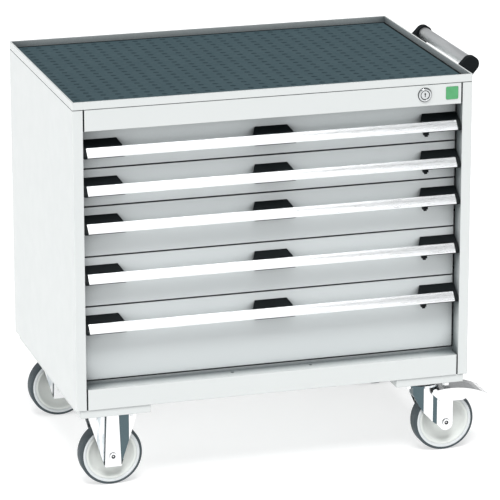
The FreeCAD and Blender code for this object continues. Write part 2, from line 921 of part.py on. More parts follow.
def fork_plan(axle_x, y):
    """Seen from above, one leg with its rib and half of the nose that joins the legs."""
    face = fork_gap / 2
    side = face + fork_sheet
    rib = side + fork_relief
    back_x = axle_x + swivel_foot_radius
    rib_x = axle_x - swivel_rib_front
    start_x = swivel_x - nose_root
    tip_x = start_x - nose_length
    turn = math.atan2(side - nose_half, nose_length)
    bend = fork_sheet * math.tan(turn / 2)
    tip_bend = fork_sheet * math.tan(math.radians(45) - turn / 2)
    return [
        (back_x, y - face),
        (back_x, y - rib),
        (rib_x, y - rib),
        (rib_x - swivel_rib_slope, y - side),
        (start_x, y - side),
        (tip_x, y - nose_half),
        (tip_x, y),
        (tip_x + fork_sheet, y),
        (tip_x + fork_sheet, y - nose_half + tip_bend),
        (start_x + bend, y - face),
    ]


def fork_silhouette(axle_x):
    """Seen from the front, the fork's swept lower edge and the shelf under the pedal."""
    high = crown_low() + crown_shoulder
    foot_z = wheel_radius - swivel_foot_drop
    sweep = [foot_z + share * (high - foot_z) for share in fork_sweep]
    r = swivel_foot_radius
    start_x = swivel_x - nose_root
    rib_x = axle_x - swivel_rib_front
    pin_x, pin_z = pedal_place()
    shelf_z = pin_z - pedal_clear
    end_x = pin_x + 2 * pedal_pin_radius
    return [
        (start_x - nose_length - 1, high),
        (start_x - nose_length - 1, sweep[0]),
        (start_x - nose_length / 3, sweep[1]),
        (start_x, sweep[2]),
        (rib_x - swivel_rib_slope, sweep[3]),
        (rib_x, foot_z),
        (axle_x - r * math.cos(math.radians(45)), foot_z - r * math.sin(math.radians(45))),
        (axle_x + r, foot_z),
        (axle_x + r, shelf_z),
        (end_x, shelf_z),
        (end_x, high),
    ]


def swivel_leg(axle_x, y):
    """One leg of the swivel fork with half of the nose."""
    foot_z = wheel_radius - swivel_foot_drop
    low = foot_z - swivel_foot_radius
    high = crown_low() + crown_shoulder
    plan = prism(fork_plan(axle_x, y), low, high - low, "z")
    y0 = y - fork_gap
    side = prism(fork_silhouette(axle_x), y0, fork_gap, "y")
    foot = rod((axle_x, y0, foot_z), (0, 1, 0), swivel_foot_radius, fork_gap)
    return plan.common(join([side, foot])).cut(axle_hole(axle_x, y))


def swivel_fork(y):
    axle_x = swivel_x + castor_trail
    leg = swivel_leg(axle_x, y)
    other = leg.mirror(Vector(0, y, 0), Vector(0, 1, 0))
    low = crown_low()
    crown = rod((swivel_x, y, low), (0, 0, 1), crown_radius, crown_thickness)
    bore_start = (swivel_x, y, low - 1)
    bore = rod(bore_start, (0, 0, 1), kingpin_radius + pin_play, crown_thickness + 2)
    body = join([crown, leg, other]).cut(bore)
    return [body.cut(pedal_pin_hole(y)), axle(axle_x, y), pedal_pin(y)]


def pedal_place():
    return swivel_x + castor_trail - pedal_pin_back, wheel_radius + pedal_pin_rise


def pedal_side():
    """Offset of the pedal's side walls' inner faces from the wheel's middle."""
    return fork_gap / 2 + fork_sheet + fork_relief + pedal_side_gap


def pedal_pin(y):
    x, z = pedal_place()
    reach = pedal_side() + pedal_sheet + 1
    pin = rod((x, y - reach, z), (0, 1, 0), pedal_pin_radius, 2 * reach)
    radius = pedal_pin_radius + pedal_pin_head
    heads = [rod((x, y + side * reach, z), (0, side, 0), radius, pedal_pin_head) for side in (-1, 1)]
    return join([pin] + heads)


def pedal_pin_hole(y):
    x, z = pedal_place()
    return rod((x, y - 2 * fork_gap, z), (0, 1, 0), pedal_pin_radius + pin_play, 4 * fork_gap)


def arc_points(start, through, end, steps):
    arc = Part.Arc(Vector(*start, 0), Vector(*through, 0), Vector(*end, 0))
    span = arc.LastParameter - arc.FirstParameter
    points = [arc.value(arc.FirstParameter + span * i / steps) for i in range(steps + 1)]
    return [(p.x, p.y) for p in points]


def brake_pedal(y):
    """Curved cover plate over the wheel with side walls that hang on the pivot pin."""
    x, z = pedal_place()
    tip_x = x + pedal_reach + pedal_pin_back
    tip_z = z - pedal_drop
    hang = 2 * pedal_pin_radius
    crest = (x + pedal_reach / 2, z + pedal_crest)
    top = arc_points((x + hang + 1, z + 1), crest, (tip_x, tip_z), 8)
    under = [(px, pz - pedal_sheet) for px, pz in reversed(top)]
    side = pedal_side()
    outer = side + pedal_sheet
    plate = prism(top + under, y - outer, 2 * outer, "y")
    low = z - pedal_skirt
    wall = top + [
        (tip_x - 1, tip_z - pedal_sheet - 1),
        (x + pedal_wall_end * pedal_reach, tip_z - pedal_sheet - 1),
        (x + pedal_wall_low * pedal_reach, low),
        (x + 2 * hang + 2, low),
        (x - hang + 1, z - hang - 1),
        (x - hang, z - 2),
    ]
    pieces = [plate]
    for y0 in (y - outer, y + side):
        pieces.append(prism(wall, y0, pedal_sheet, "y"))
    return join(pieces).cut(pedal_pin_hole(y))


# ------------------------------------------------------------------ assembly
def add(name, shapes):
    nodes[name] = shapes if isinstance(shapes, list) else [shapes]


def add_housing():
    left = side_panel()
    add("left_side_panel", left)
    add("right_side_panel", mirrored(left))
    add("back_panel", back_panel())
    add("base_panel", base_panel())
    add("bottom_rail", bottom_rail())
    add("top_rail", top_rail())
    add("top_tray", top_tray())
    add("top_mat", top_mat())
    add("castor_channels", [castor_channel(x) for x in channel_x])
    rear_start = pan_back - upright_width
    posts = [upright(upright_start), upright(rear_start)]
    add("runner_uprights", posts + [mirrored(p) for p in posts])
    runners = [outer_runner(k) for k in range(len(drawer_pitches))]
    add("outer_runners", runners + [mirrored(r) for r in runners])


def add_lock():
    add("lock_housing", lock_housing())
    add("lock_plug", lock_plug())
    add("lock_bar", lock_bar())
    add("lock_bar_guides", lock_bar_guides())
    add("badge", badge())


def add_drawers():
    for k in range(len(drawer_pitches)):
        name = "drawer_%d_" % (k + 1)
        middle = mid_runner(k)
        add(name + "box", drawer_box(k))
        add(name + "handle", handle_bar(k))
        add(name + "brackets", brackets(k))
        add(name + "catch", catch(k))
        add(name + "mid_runners", [middle, mirrored(middle)])


def add_castors():
    add("castor_bolts", castor_bolts())
    add("fixed_castor_forks", [fixed_fork(y) for y in castor_y])
    add("fixed_castor_axles", [axle(fixed_x, y) for y in castor_y])
    add("swivel_castor_plates", [swivel_plate(y) for y in castor_y])
    for place, y in zip(("front", "rear"), castor_y):
        add("fixed_%s_rim" % place, rim(fixed_x, y))
        add("fixed_%s_tyre" % place, tyre(fixed_x, y))
        axle_x = swivel_x + castor_trail
        add("swivel_%s_fork" % place, swivel_fork(y))
        add("swivel_%s_rim" % place, rim(axle_x, y))
        add("swivel_%s_tyre" % place, tyre(axle_x, y))
        add("swivel_%s_pedal" % place, brake_pedal(y))


def write_nodes():
    for name, shapes in nodes.items():
        whole = shapes[0] if len(shapes) == 1 else Part.makeCompound(shapes)
        placed = whole.copy()
        placed.translate(origin.negative())
        placed.exportStep("parts/%s.step" % name)


add_housing()
add_lock()
add_drawers()
add("push_handle_tube", handle_tube())
add("push_handle_brackets", handle_brackets())
add_castors()
write_nodes()
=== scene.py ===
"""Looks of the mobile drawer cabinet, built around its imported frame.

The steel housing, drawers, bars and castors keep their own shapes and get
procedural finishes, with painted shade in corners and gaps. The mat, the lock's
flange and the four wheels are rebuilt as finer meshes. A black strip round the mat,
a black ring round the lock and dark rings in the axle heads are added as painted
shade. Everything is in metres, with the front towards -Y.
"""
import math

import bmesh
import bpy
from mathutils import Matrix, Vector


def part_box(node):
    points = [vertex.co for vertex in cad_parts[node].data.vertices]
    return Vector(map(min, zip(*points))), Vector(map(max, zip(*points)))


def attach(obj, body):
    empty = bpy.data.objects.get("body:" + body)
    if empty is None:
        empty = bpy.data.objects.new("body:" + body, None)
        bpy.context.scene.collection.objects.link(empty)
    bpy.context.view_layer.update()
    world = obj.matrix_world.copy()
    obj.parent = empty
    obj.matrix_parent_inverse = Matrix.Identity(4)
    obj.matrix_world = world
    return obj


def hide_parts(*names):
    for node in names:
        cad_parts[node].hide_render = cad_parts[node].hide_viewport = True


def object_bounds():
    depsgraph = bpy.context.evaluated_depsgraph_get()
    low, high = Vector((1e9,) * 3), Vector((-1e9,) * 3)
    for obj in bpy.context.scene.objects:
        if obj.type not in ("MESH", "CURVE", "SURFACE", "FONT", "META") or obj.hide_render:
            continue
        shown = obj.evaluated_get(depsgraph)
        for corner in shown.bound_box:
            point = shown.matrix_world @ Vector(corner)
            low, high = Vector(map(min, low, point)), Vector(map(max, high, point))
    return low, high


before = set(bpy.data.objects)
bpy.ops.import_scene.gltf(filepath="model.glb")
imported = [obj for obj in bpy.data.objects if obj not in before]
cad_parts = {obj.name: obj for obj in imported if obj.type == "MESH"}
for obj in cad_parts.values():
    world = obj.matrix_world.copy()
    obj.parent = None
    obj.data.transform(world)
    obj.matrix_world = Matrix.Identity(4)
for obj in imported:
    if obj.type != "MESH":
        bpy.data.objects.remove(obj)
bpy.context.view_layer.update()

DRAWERS = range(1, 6)
PLACES = ("front", "rear")
WHEELS = [(kind, place) for kind in ("fixed", "swivel") for place in PLACES]

# Sizes of the wheels
TYRE_DEPTH = 0.0145
RIM_COLLAR = 0.003
RIM_FACE_STEP = 0.001
GROOVE_STEP = 0.004
AXLE_REACH = 0.030
AXLE_DIMPLE = 0.0015
ROUND_STEPS = 128

# Rings of a pit in the mat: its share of the width and of the depth
PIT_RINGS = ((1.0, 0.0), (0.86, 0.45), (0.70, 1.0))

# Two coordinates closer than this are the same
NEAR = 1e-5

# Samples of the rounded edges and of the shade in corners
BEVEL_SAMPLES = 6
SHADE_SAMPLES = 8


# ------------------------------------------------------------------ materials
class Finish:
    """A node material under construction, with object coordinates in metres."""

    def __init__(self, name, colour, roughness, metallic=0.0, **extra):
        self.material = bpy.data.materials.new(name)
        self.material.use_nodes = True
        self.tree = self.material.node_tree
        self.shader = self.tree.nodes["Principled BSDF"]
        self.place = self.node("ShaderNodeTexCoord").outputs["Object"]
        self.colour = self.constant(colour)
        self.rough = roughness
        self.shader.inputs["Metallic"].default_value = metallic
        for socket, value in extra.items():
            self.shader.inputs[socket.replace("_", " ")].default_value = value

    def node(self, kind, **inputs):
        made = self.tree.nodes.new(kind)
        for name, value in inputs.items():
            socket = made.inputs[name.replace("_", " ")]
            if isinstance(value, bpy.types.NodeSocket):
                self.tree.links.new(value, socket)
            else:
                socket.default_value = value
        return made

    def constant(self, colour):
        made = self.node("ShaderNodeRGB")
        made.outputs[0].default_value = (*colour, 1)
        return made.outputs[0]

    def scaled(self, x, y, z):
        """Object coordinates stretched along the three axes."""
        return self.node("ShaderNodeMapping", Vector=self.place, Scale=(x, y, z)).outputs[0]

    def noise(self, size, detail=3.0, place=None):
        """Noise whose features are about size metres across."""
        where = self.place if place is None else place
        made = self.node("ShaderNodeTexNoise", Vector=where, Scale=1 / size, Detail=detail)
        return made.outputs["Fac"]

    def ramp(self, value, low, high, out_low=0.0, out_high=1.0):
        made = self.node("ShaderNodeMapRange", Value=value)
        made.inputs["From Min"].default_value = low
        made.inputs["From Max"].default_value = high
        made.inputs["To Min"].default_value = out_low
        made.inputs["To Max"].default_value = out_high
        return made.outputs["Result"]

    def times(self, a, b):
        made = self.tree.nodes.new("ShaderNodeMath")
        made.operation = "MULTIPLY"
        for socket, value in zip(made.inputs, (a, b)):
            if isinstance(value, bpy.types.NodeSocket):
                self.tree.links.new(value, socket)
            else:
                socket.default_value = value
        return made.outputs[0]

    def tint(self, mask, colour):
        """Blend the colour so far towards another one where the mask is high."""
        mix = self.tree.nodes.new("ShaderNodeMix")
        mix.data_type = "RGBA"
        self.tree.links.new(mask, mix.inputs["Factor"])
        self.tree.links.new(self.colour, mix.inputs["A"])
        mix.inputs["B"].default_value = (*colour, 1)
        self.colour = mix.outputs["Result"]

    def rounded_normal(self, radius):
        made = self.node("ShaderNodeBevel", Radius=radius)
        made.samples = BEVEL_SAMPLES
        return made.outputs[0]

    def edges(self, width):
        """Mask that is high within about width metres of a convex or concave edge."""
        geometry = self.node("ShaderNodeNewGeometry")
        dot = self.tree.nodes.new("ShaderNodeVectorMath")
        dot.operation = "DOT_PRODUCT"
        self.tree.links.new(self.rounded_normal(width), dot.inputs[0])
        self.tree.links.new(geometry.outputs["Normal"], dot.inputs[1])
        flat, turned = 0.995, 0.80
        return self.ramp(dot.outputs["Value"], flat, turned)

    def painted_shade(self, reach, colour, most=1.0, start=0.72, full=0.18):
        """Painted shade that darkens the colour where the surface is closed in within reach metres.
        """
        made = self.node("ShaderNodeAmbientOcclusion", Distance=reach)
        made.samples = SHADE_SAMPLES
        self.tint(self.ramp(made.outputs["AO"], start, full, 0.0, most), colour)

    def bump(self, height, depth, strength=1.0, rounded=0.0):
        """Surface relief of a given depth, over slightly rounded edges if asked."""
        made = self.node("ShaderNodeBump", Height=height, Distance=depth, Strength=strength)
        if rounded:
            self.tree.links.new(self.rounded_normal(rounded), made.inputs["Normal"])
        self.tree.links.new(made.outputs[0], self.shader.inputs["Normal"])

    def done(self):
        self.tree.links.new(self.colour, self.shader.inputs["Base Color"])
        socket = self.shader.inputs["Roughness"]
        if isinstance(self.rough, bpy.types.NodeSocket):
            self.tree.links.new(self.rough, socket)
        else:
            socket.default_value = self.rough
        return self.material


def powder_coat(name, colour, shade, line, fold_shade=0.0):
    """Satin powder coat: orange-peel skin, faint mottling, greyed edges, painted shade in folds and
    gaps.
    """
    f = Finish(name, colour, 0.42, Specular_IOR_Level=0.45)
    f.tint(f.ramp(f.noise(0.22, 2.0), 0.35, 0.7, 0.0, 0.5), shade)
    # Darker grey line along the edges, patchy along its length.
    patchy = f.ramp(f.noise(0.03, 4.0), 0.35, 0.65, 0.6, 1.0)
    f.tint(f.times(f.times(f.edges(0.0011), patchy), 0.75), line)
    if fold_shade:
        # Painted shade, blue-grey and deep, within the housing's folds and returns.
        f.painted_shade(0.065, (0.085, 0.115, 0.125), fold_shade, 0.82, 0.46)
    # Painted shade in gaps and corners.
    f.painted_shade(0.045, (0.075, 0.085, 0.09), 0.9)
    f.rough = f.ramp(f.noise(0.03, 4.0), 0.3, 0.7, 0.36, 0.48)
    f.bump(f.noise(0.0016, 2.0), 0.00005, 0.4, rounded=0.0012)
    return f.done()


def zinc(name, colour=(0.90, 0.905, 0.91), rough=0.17):
    """Bright zinc plate with faint clouding and painted shade in crevices."""
    f = Finish(name, colour, rough, metallic=1.0)
    f.tint(f.ramp(f.noise(0.022, 3.0), 0.4, 0.75, 0.0, 0.35), tuple(c * 0.90 for c in colour))
    f.tint(f.times(f.edges(0.0008), 0.5), (0.42, 0.44, 0.46))
    # Painted shade in crevices.
    f.painted_shade(0.022, (0.10, 0.105, 0.11))
    f.rough = f.ramp(f.noise(0.012, 3.0), 0.3, 0.7, rough - 0.03, rough + 0.06)
    f.bump(f.noise(0.004, 2.0), 0.00002, 0.25, rounded=0.0008)
    return f.done()


def pressed_zinc(name):
    """Zinc plate with a painted dark reflection on the pressed slopes that face left, a painted
    streaky reflection on those that face right, and painted shade in crevices.
    """
    f = Finish(name, (0.90, 0.905, 0.91), 0.18, metallic=1.0)
    f.tint(f.ramp(f.noise(0.022, 3.0), 0.4, 0.75, 0.0, 0.35), (0.81, 0.815, 0.82))
    normal = f.node("ShaderNodeTexCoord").outputs["Normal"]
    lean = f.node("ShaderNodeSeparateXYZ", Vector=normal).outputs["X"]
    # Painted dark reflection on slopes facing left.
    f.tint(f.ramp(lean, -0.06, -0.16, 0.0, 0.96), (0.060, 0.100, 0.115))
    # Painted streaky grey-blue reflection on slopes facing right.
    streaks = f.ramp(f.noise(0.006, 2.0, f.scaled(1, 1, 0.15)), 0.40, 0.60, 0.05, 0.6)
    right = f.times(f.ramp(lean, 0.06, 0.12), f.ramp(lean, 0.60, 0.45))
    f.tint(f.times(right, streaks), (0.36, 0.44, 0.48))
    f.tint(f.times(f.edges(0.0008), 0.5), (0.36, 0.38, 0.40))
    # Painted shade in crevices.
    f.painted_shade(0.022, (0.08, 0.085, 0.09))
    f.rough = f.ramp(f.noise(0.012, 3.0), 0.3, 0.7, 0.15, 0.24)
    f.bump(f.noise(0.004, 2.0), 0.00002, 0.25, rounded=0.0008)
    return f.done()


def brushed(name, colour, rough, stretch, edge=0.5):
    """Drawn metal with fine streaks; stretch gives the streak length on each axis."""
    f = Finish(name, colour, rough, metallic=1.0, Anisotropic=0.3)
    streaks = f.noise(0.0008, 2.0, f.scaled(*stretch))
    f.tint(f.ramp(streaks, 0.35, 0.75, 0.0, 0.3), tuple(c * 0.93 for c in colour))
    f.tint(f.times(f.edges(0.0007), edge), (0.40, 0.42, 0.44))
    # Painted shade in crevices.
    f.painted_shade(0.015, (0.08, 0.085, 0.09), 0.8)
    f.rough = f.ramp(streaks, 0.3, 0.7, rough - 0.02, rough + 0.03)
    f.bump(streaks, 0.000004, 0.12, rounded=0.0005)
    return f.done()


def moulded(name, colour, rough, worn, grain=0.0007):
    """Moulded plastic with a fine spark-eroded grain and paler edges."""
    f = Finish(name, colour, rough, Specular_IOR_Level=0.14)
    f.tint(f.times(f.edges(0.0009), 0.6), worn)
    f.tint(f.ramp(f.noise(0.02, 3.0), 0.45, 0.8, 0.0, 0.25), worn)
    # Painted shade in crevices, a darker copy of the plastic's colour.
    f.painted_shade(0.016, tuple(c * 0.35 for c in colour), 0.8)
    f.rough = f.ramp(f.noise(0.004, 3.0), 0.3, 0.7, rough - 0.06, rough + 0.08)
    f.bump(f.noise(grain, 2.0), 0.00005, 0.5, rounded=0.0006)
    return f.done()


def rubber(name, colour, dust, rough=0.72, grain=0.0011):
    """Matt rubber with a fine grain and a trace of dust."""
    f = Finish(name, colour, rough, Specular_IOR_Level=0.30)
    f.tint(f.ramp(f.noise(0.05, 5.0), 0.45, 0.8, 0.0, 0.35), dust)
    f.tint(f.ramp(f.noise(0.002, 2.0), 0.5, 0.9, 0.0, 0.3), dust)
    f.rough = f.ramp(f.noise(0.01, 3.0), 0.3, 0.7, rough - 0.08, rough + 0.1)
    f.bump(f.noise(grain, 3.0), 0.00012, 0.6)
    return f.done()


def polished(name, colour):
    """Polished plate with hair-fine scratches and painted shade in crevices."""
    f = Finish(name, colour, 0.12, metallic=1.0)
    f.tint(f.ramp(f.noise(0.003, 4.0), 0.5, 0.8, 0.0, 0.4), tuple(c * 0.8 for c in colour))
    f.tint(f.times(f.edges(0.0006), 0.6), (0.20, 0.21, 0.22))
    # Painted shade, near black, in crevices.
    f.painted_shade(0.006, (0.006, 0.006, 0.007))
    f.rough = f.ramp(f.noise(0.0008, 4.0), 0.3, 0.7, 0.10, 0.22)
    f.bump(f.noise(0.0006, 2.0), 0.00001, 0.3, rounded=0.0004)
    return f.done()


def enamel(name, colour, deep):
    """Glossy badge enamel with slight pooling."""
    f = Finish(name, colour, 0.25, Coat_Weight=0.6, Coat_Roughness=0.08)
    f.tint(f.ramp(f.noise(0.008, 2.0), 0.4, 0.8, 0.0, 0.5), deep)
    f.bump(f.noise(0.002, 2.0), 0.00003, 0.4, rounded=0.0006)
    return f.done()


def studio_white(name):
    """Matt translucent studio table, lit a little from below."""
    f = Finish(name, (0.56, 0.56, 0.56), 0.9, Specular_IOR_Level=0.1, Emission_Strength=0.58)
    f.shader.inputs["Emission Color"].default_value = (1.0, 1.0, 1.0, 1.0)
    f.tint(f.ramp(f.noise(0.8, 2.0), 0.3, 0.8, 0.0, 0.3), (0.54, 0.545, 0.55))
    f.bump(f.noise(0.002, 2.0), 0.00003, 0.2)
    return f.done()


LOOKS = {
    "housing": powder_coat(
        "housing_paint", (0.655, 0.678, 0.672), (0.635, 0.662, 0.658), (0.34, 0.355, 0.36), 0.85
    ),
    # The drawers carry a slightly darker copy of the housing's paint, as painted shade on the
    # recessed fronts.
    "drawer": powder_coat(
        "drawer_paint", (0.62, 0.655, 0.66), (0.60, 0.64, 0.645), (0.32, 0.34, 0.345)
    ),
    "bar": brushed("bar_aluminium", (0.84, 0.855, 0.865), 0.28, (0.02, 1, 1)),
    "tube": brushed("tube_satin", (0.96, 0.975, 0.98), 0.42, (1, 0.03, 1), 0.0),
    "black": moulded("black_plastic", (0.0026, 0.0048, 0.0058), 0.46, (0.007, 0.010, 0.0115)),
    # Black plastic for pieces that stand in for shadow: the strip round the mat, the lock's groove
    # and the ring round the lock.
    "painted_shadow": moulded("painted_shadow_black", (0.0025, 0.0035, 0.004), 0.6, (0.006, 0.007, 0.0075)),
    "mat": rubber("mat_rubber", (0.038, 0.069, 0.081), (0.055, 0.092, 0.104)),
    # Darker copy of the mat rubber for the insides of the pits: painted shade.
    "mat_pit_shade": rubber("mat_rubber_pit_shade", (0.016, 0.034, 0.042), (0.030, 0.050, 0.058)),
    "zinc": zinc("zinc"),
    # Dark steel for the rings in the axle dimples: painted shade.
    "dimple_shade_steel": zinc("dimple_shade_steel", (0.030, 0.033, 0.036), 0.3),
    "fork": pressed_zinc("pressed_zinc"),
    "runner": zinc("runner_zinc", (0.70, 0.72, 0.73), 0.30),
    "chrome": polished("lock_chrome", (0.60, 0.62, 0.63)),
    "badge": enamel("badge_green", (0.055, 0.34, 0.12), (0.04, 0.28, 0.09)),
    # One grey tyre rubber in two copies: dark as painted shade on the tread, pale as painted light
    # on the flanks.
    "tyre_shaded": rubber("tyre_rubber_shaded", (0.052, 0.068, 0.076), (0.095, 0.115, 0.125), 0.6),
    "tyre_lit": rubber("tyre_rubber_lit", (0.66, 0.69, 0.70), (0.58, 0.61, 0.62), 0.55),
    "rim": moulded("rim_plastic", (0.70, 0.725, 0.70), 0.34, (0.76, 0.78, 0.76), 0.0012),
    "floor": studio_white("studio_floor"),
}

LOOK_OF_NODE = {
    "housing": (
        "left_side_panel", "right_side_panel", "back_panel", "base_panel",
        "top_rail", "bottom_rail", "top_tray", "castor_channels",
    ),
    "runner": ("runner_uprights", "outer_runners", "lock_bar", "lock_bar_guides"),
    "zinc": (
        "castor_bolts", "fixed_castor_axles", "swivel_castor_plates",
        "swivel_front_pedal", "swivel_rear_pedal",
    ),
    "fork": ("fixed_castor_forks", "swivel_front_fork", "swivel_rear_fork"),
    "chrome": ("lock_plug",),
    "badge": ("badge",),
    "tube": ("push_handle_tube",),
    "black": ("push_handle_brackets",),
}


def dress(node, look):
    """Give a frame node its finish."""
    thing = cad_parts[node]
    thing.data.materials.clear()
    thing.data.materials.append(LOOKS[look])


def dress_frame():
    """Finishes of all pieces that keep their own shape."""
    for look, nodes in LOOK_OF_NODE.items():
        for node in nodes:
            dress(node, look)
    for k in DRAWERS:
        dress("drawer_%d_box" % k, "drawer")
        dress("drawer_%d_handle" % k, "bar")
        dress("drawer_%d_brackets" % k, "black")
        dress("drawer_%d_catch" % k, "black")
        dress("drawer_%d_mid_runners" % k, "runner")


# --------------------------------------------------------------- mesh helpers
def piece(name, mesh, looks, body):
    """Make an object from a bmesh, give it its finishes and let it ride on a body."""
    data = bpy.data.meshes.new(name)
    mesh.to_mesh(data)
    mesh.free()
    thing = bpy.data.objects.new(name, data)
    bpy.context.scene.collection.objects.link(thing)
    for look in looks:
        data.materials.append(LOOKS[look])
    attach(thing, body)
    return thing


def lathe(mesh, centre, profile, steps=96):
    """Closed ring about the Y axis from (radius, offset, finish, smooth) points."""
    rings = []
    for radius, offset, _, _ in profile:
        ring = []
        for i in range(steps):
            turn = 2 * math.pi * i / steps
            place = (radius * math.cos(turn), offset, radius * math.sin(turn))
            ring.append(mesh.verts.new(centre + Vector(place)))
        rings.append(ring)
    for j, ring in enumerate(rings):
        after = rings[(j + 1) % len(rings)]
        for i in range(steps):
            k = (i + 1) % steps
            face = mesh.faces.new((ring[i], ring[k], after[k], after[i]))
            face.material_index = profile[j][2]
            face.smooth = profile[j][3]
    bmesh.ops.recalc_face_normals(mesh, faces=mesh.faces)


def arc(centre_r, centre_o, radius, start, end, steps, look):
    """Profile points along a round corner, angles in degrees from the radial direction."""
    points = []
    for i in range(steps + 1):
        turn = math.radians(start + (end - start) * i / steps)
        r = centre_r + radius * math.cos(turn)
        o = centre_o + radius * math.sin(turn)
        points.append((r, o, look, True))
    return points


def mirrored_profile(half):
    """Complete a profile that is given for positive offsets, from outside in."""
    back = []
    for j in range(len(half) - 1, 0, -1):
        r, o, _, _ = half[j]
        _, _, look, smooth = half[j - 1]
        back.append((r, -o, look, smooth))
    return half + back


# ------------------------------------------------------------------- the mat
def make_mat():
    """Rubber mat with rows of small moulded pits, painted darker inside as shade."""
    low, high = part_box("top_mat")
    pitch_x, pitch_y = 0.0287, 0.0242
    pit_x, pit_y, depth = 0.0062, 0.0050, 0.0011
    columns = int((high.x - low.x) / pitch_x)
    rows = int((high.y - low.y) / pitch_y)
    start_x = (low.x + high.x - columns * pitch_x) / 2
    start_y = (low.y + high.y - rows * pitch_y) / 2
    mesh = bmesh.new()
    top = high.z
    corners = {}

    def corner(x, y, z):
        key = (round(x, 6), round(y, 6), round(z, 6))
        if key not in corners:
            corners[key] = mesh.verts.new((x, y, z))
        return corners[key]

    for i in range(columns):
        for j in range(rows):
            x0 = low.x if i == 0 else start_x + i * pitch_x
            x1 = high.x if i == columns - 1 else start_x + (i + 1) * pitch_x
            y0 = low.y if j == 0 else start_y + j * pitch_y
            y1 = high.y if j == rows - 1 else start_y + (j + 1) * pitch_y
            cx = start_x + (i + 0.5) * pitch_x
            cy = start_y + (j + 0.5) * pitch_y
            pit(mesh, corner, (x0, x1, y0, y1), (cx, cy), (pit_x, pit_y, depth), top)
    frame_edge = [v for v in mesh.verts if abs(v.co.z - top) < NEAR and on_border(v.co, low, high)]
    skirt(mesh, frame_edge, low, high)
    bmesh.ops.recalc_face_normals(mesh, faces=mesh.faces)
    mat = piece("ribbed_mat", mesh, ("mat", "mat_pit_shade"), "cabinet")
    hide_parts("top_mat")


def make_mat_shadow_strip():
    """Black strip in the gap between the mat and the tray's lip, standing in for the shadow in that
    gap.
    """
    low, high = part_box("top_mat")
    gap, inner, proud = 0.0036, 0.0003, 0.0006
    top, bottom = high.z + proud, low.z
    rings = []
    for grow, z in ((inner, bottom), (inner, top), (gap, top), (gap, bottom)):
        corners = [
            (low.x - grow, low.y - grow), (high.x + grow, low.y - grow),
            (high.x + grow, high.y + grow), (low.x - grow, high.y + grow),
        ]
        rings.append([(x, y, z) for x, y in corners])
    mesh = bmesh.new()
    rings = [[mesh.verts.new(co) for co in ring] for ring in rings]
    for j in range(4):
        for i in range(4):
            k = (i + 1) % 4
            mesh.faces.new((rings[j][i], rings[j][k], rings[(j + 1) % 4][k], rings[(j + 1) % 4][i]))
    bmesh.ops.recalc_face_normals(mesh, faces=mesh.faces)
    piece("mat_shadow_strip", mesh, ("painted_shadow",), "cabinet")


def pit(mesh, corner, cell, centre, size, top):
    """One cell of the mat: a flat square around a rounded pit."""
    x0, x1, y0, y1 = cell
    sides = 16
    square = [corner(x0, y0, top), corner(x1, y0, top), corner(x1, y1, top), corner(x0, y1, top)]
    rings = []
    for grow, drop in PIT_RINGS:
        ring = []
        for i in range(sides):
            turn = 2 * math.pi * (i + 0.5) / sides - math.pi * 0.75
            x = centre[0] + size[0] * grow * math.cos(turn)
            y = centre[1] + size[1] * grow * math.sin(turn)
            ring.append(mesh.verts.new((x, y, top - size[2] * drop)))
        rings.append(ring)
    quarter = sides // 4
    outer = rings[0]
    for side in range(4):
        a, b = square[side], square[(side + 1) % 4]
        run = [outer[(side * quarter + i) % sides] for i in range(quarter)]
        mesh.faces.new([a, b] + run[::-1])
        nxt = outer[((side + 1) * quarter) % sides]
        mesh.faces.new([b, nxt, run[-1]])
    # Walls and floor of the pit take the darker rubber: painted shade in the pit.
    for upper, lower in zip(rings, rings[1:]):
        for i in range(sides):
            k = (i + 1) % sides
            face = mesh.faces.new((upper[i], upper[k], lower[k], lower[i]))
            face.material_index = 1
            face.smooth = True
    floor = mesh.faces.new(rings[-1])
    floor.material_index = 1


def on_border(co, low, high):
    """Whether a point is on one of the mat's four sides."""
    return min(abs(co.x - low.x), abs(co.x - high.x), abs(co.y - low.y), abs(co.y - high.y)) < NEAR


def skirt(mesh, edge, low, high):
    """Sides and underside of the mat."""
    middle = (low + high) / 2
    edge.sort(key=lambda v: math.atan2(v.co.y - middle.y, v.co.x - middle.x))
    under = [mesh.verts.new((v.co.x, v.co.y, low.z)) for v in edge]
    for i in range(len(edge)):
        k = (i + 1) % len(edge)
        mesh.faces.new((edge[i], edge[k], under[k], under[i]))
    mesh.faces.new(under)


# -------------------------------------------------------------------- wheels
def wheel_centre(kind, place):
    """Centre of a wheel, the radius of its tyre and half the tyre's width."""
    low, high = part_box("%s_%s_tyre" % (kind, place))
    return (low + high) / 2, (high.z - low.z) / 2, (high.y - low.y) / 2


def make_tyre(kind, place):
    """Rounded tyre of one grey rubber, painted dark on the tread as shade and pale on the flanks as
    light.
    """
    centre, outer, half = wheel_centre(kind, place)
    seat = outer - TYRE_DEPTH
    groove = half - GROOVE_STEP
    collar = seat + RIM_COLLAR
    shoulder = 0.0055
    flank_top = outer - 0.0052
    # Faces marked 0 take the dark copy (painted shade on the tread), those marked 1 the pale copy
    # (painted light on the flanks).
    points = [(outer, 0.0, 0, True), (outer, half - shoulder - 0.003, 0, True)]
    points += arc(outer - shoulder, half - shoulder, shoulder, 4, 62, 5, 0)
    points += [
        (flank_top, half - 0.0006, 0, False),
        (flank_top - 0.0006, half - 0.0011, 1, True),
        (flank_top - 0.0014, half - 0.0002, 1, True),
        ((flank_top + collar) / 2, half, 1, True),
        (collar + 0.0006, half - 0.0004, 1, True),
        (collar, half - RIM_FACE_STEP, 1, False),
        (collar, groove, 1, False),
        (seat + 0.00005, groove, 1, False),
    ]
    mesh = bmesh.new()
    lathe(mesh, centre, mirrored_profile(points), ROUND_STEPS)
    name = "%s_%s_tyre" % (kind, place)
    body = "%s_%s_wheel" % (kind, place)
    tyre = piece(name + "_moulded", mesh, ("tyre_shaded", "tyre_lit"), body)
    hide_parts(name)


